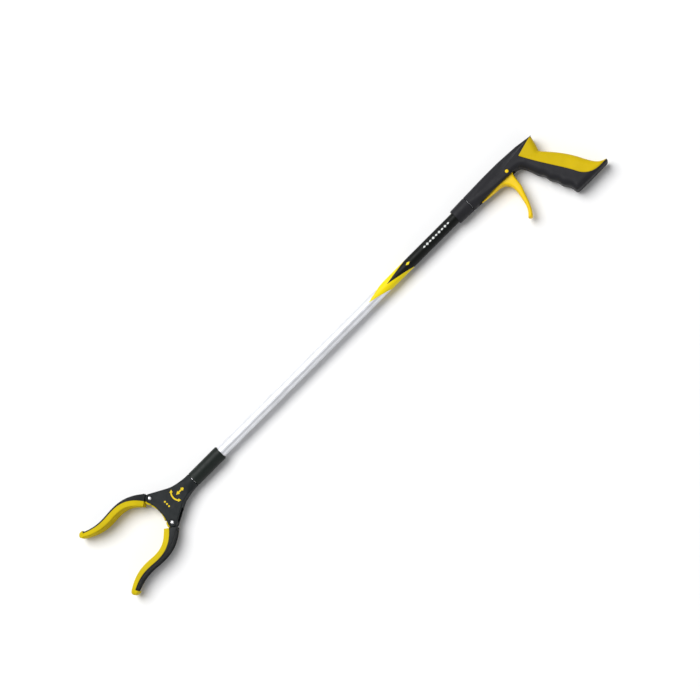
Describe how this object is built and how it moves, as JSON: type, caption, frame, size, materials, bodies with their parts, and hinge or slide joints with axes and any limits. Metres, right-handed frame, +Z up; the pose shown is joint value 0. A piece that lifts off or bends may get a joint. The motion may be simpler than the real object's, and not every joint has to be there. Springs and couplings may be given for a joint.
{
  "type": "reacher grabber",
  "caption": "Long-handled reaching aid with a trigger that closes padded jaws on a turning head.",
  "frame": {"origin": "under the middle of the bounding box, on the surface that the flat side of the handle lies on", "axes": "+X along the tube from the jaws to the handle, +Y towards the spine of the handle, away from the trigger, +Z up out of the flat side, parallel to the jaw rivets and the trigger pin"},
  "size_m": [0.8316, 0.1473, 0.026],
  "materials": {
    "tube_aluminium": "bright drawn aluminium with fine flutes",
    "label_film": "printed film, black with a yellow chevron",
    "ring_plastic": "satin black moulding",
    "head_plastic": "satin black moulding with yellow arrows",
    "handle_plastic": "fine-textured black moulding",
    "jaw_plastic": "satin black moulding",
    "pad_rubber": "matt yellow rubber",
    "grip_yellow": "matt yellow soft-touch moulding",
    "trigger_yellow": "bright yellow moulding",
    "crosshead_nylon": "black glass-filled nylon",
    "guide_nylon": "natural nylon",
    "rivet_steel": "bright plated rivets",
    "rod_steel": "drawn steel",
    "screw_steel": "zinc-plated screws",
    "spring_steel": "spring steel"
  },
  "bodies": {
    "handle": {"tube": "tube_aluminium", "tube_label": "label_film", "collar": "ring_plastic", "collar_rivet": "rivet_steel", "rod_guides": "guide_nylon", "detent_ring": "spring_steel", "nose_ring": "ring_plastic", "handle_shell_upper": "handle_plastic", "handle_shell_lower": "handle_plastic", "handle_screws": "screw_steel", "grip_back": "grip_yellow", "return_spring": "spring_steel"},
    "trigger": {"trigger": "trigger_yellow", "trigger_pin": "trigger_yellow"},
    "rod": {"pull_rod": "rod_steel", "rod_sleeves": "rod_steel", "rod_nut": "rod_steel", "hook_pin": "rod_steel"},
    "head": {"head_shell_upper": "head_plastic", "head_shell_lower": "head_plastic", "head_screws": "screw_steel", "jaw_rivets": "rivet_steel", "throat_pad": "pad_rubber", "swivel_shaft": "rod_steel", "retaining_clip": "spring_steel"},
    "crosshead": {"crosshead": "crosshead_nylon", "crosshead_pins": "rod_steel"},
    "jaw_upper": {"jaw_frame_upper": "jaw_plastic", "jaw_pad_upper": "pad_rubber"},
    "jaw_lower": {"jaw_frame_lower": "jaw_plastic", "jaw_pad_lower": "pad_rubber"}
  },
  "joints": [
    {"name": "trigger_pull", "type": "hinge", "parent": "handle", "child": "trigger", "pos_m": [0.315, 0.0103, 0.013], "axis": [0, 0, 1], "range_deg": [0, 32], "stiffness_Nm_per_rad": 0.1, "springref_deg": -22.92},
    {"name": "rod_slide", "type": "slide", "parent": "handle", "child": "rod", "axis": [1, 0, 0], "range_m": [0, 0.00463], "deforming": ["return_spring"]},
    {"name": "head_swivel", "type": "hinge", "parent": "handle", "child": "head", "pos_m": [-0.2555, 0.0178, 0.013], "axis": [1, 0, 0], "range_deg": [-90, 90], "deforming": ["detent_ring"]},
    {"name": "crosshead_slide", "type": "slide", "parent": "head", "child": "crosshead", "axis": [1, 0, 0], "range_m": [0, 0.00463]},
    {"name": "jaw_upper_close", "type": "hinge", "parent": "head", "child": "jaw_upper", "pos_m": [-0.3135, 0.0398, 0.013], "axis": [0, 0, 1], "range_deg": [0, 26.5]},
    {"name": "jaw_lower_close", "type": "hinge", "parent": "head", "child": "jaw_lower", "pos_m": [-0.3135, -0.0042, 0.013], "axis": [0, 0, -1], "range_deg": [0, 26.5]}
  ],
  "couplings": [
    {"joint": "rod_slide", "follows": "trigger_pull", "m_per_rad": 0.0082912},
    {"joint": "crosshead_slide", "follows": "trigger_pull", "m_per_rad": 0.0082912},
    {"joint": "jaw_upper_close", "follows": "trigger_pull", "ratio": 0.82818},
    {"joint": "jaw_lower_close", "follows": "trigger_pull", "ratio": 0.82818}
  ]
}
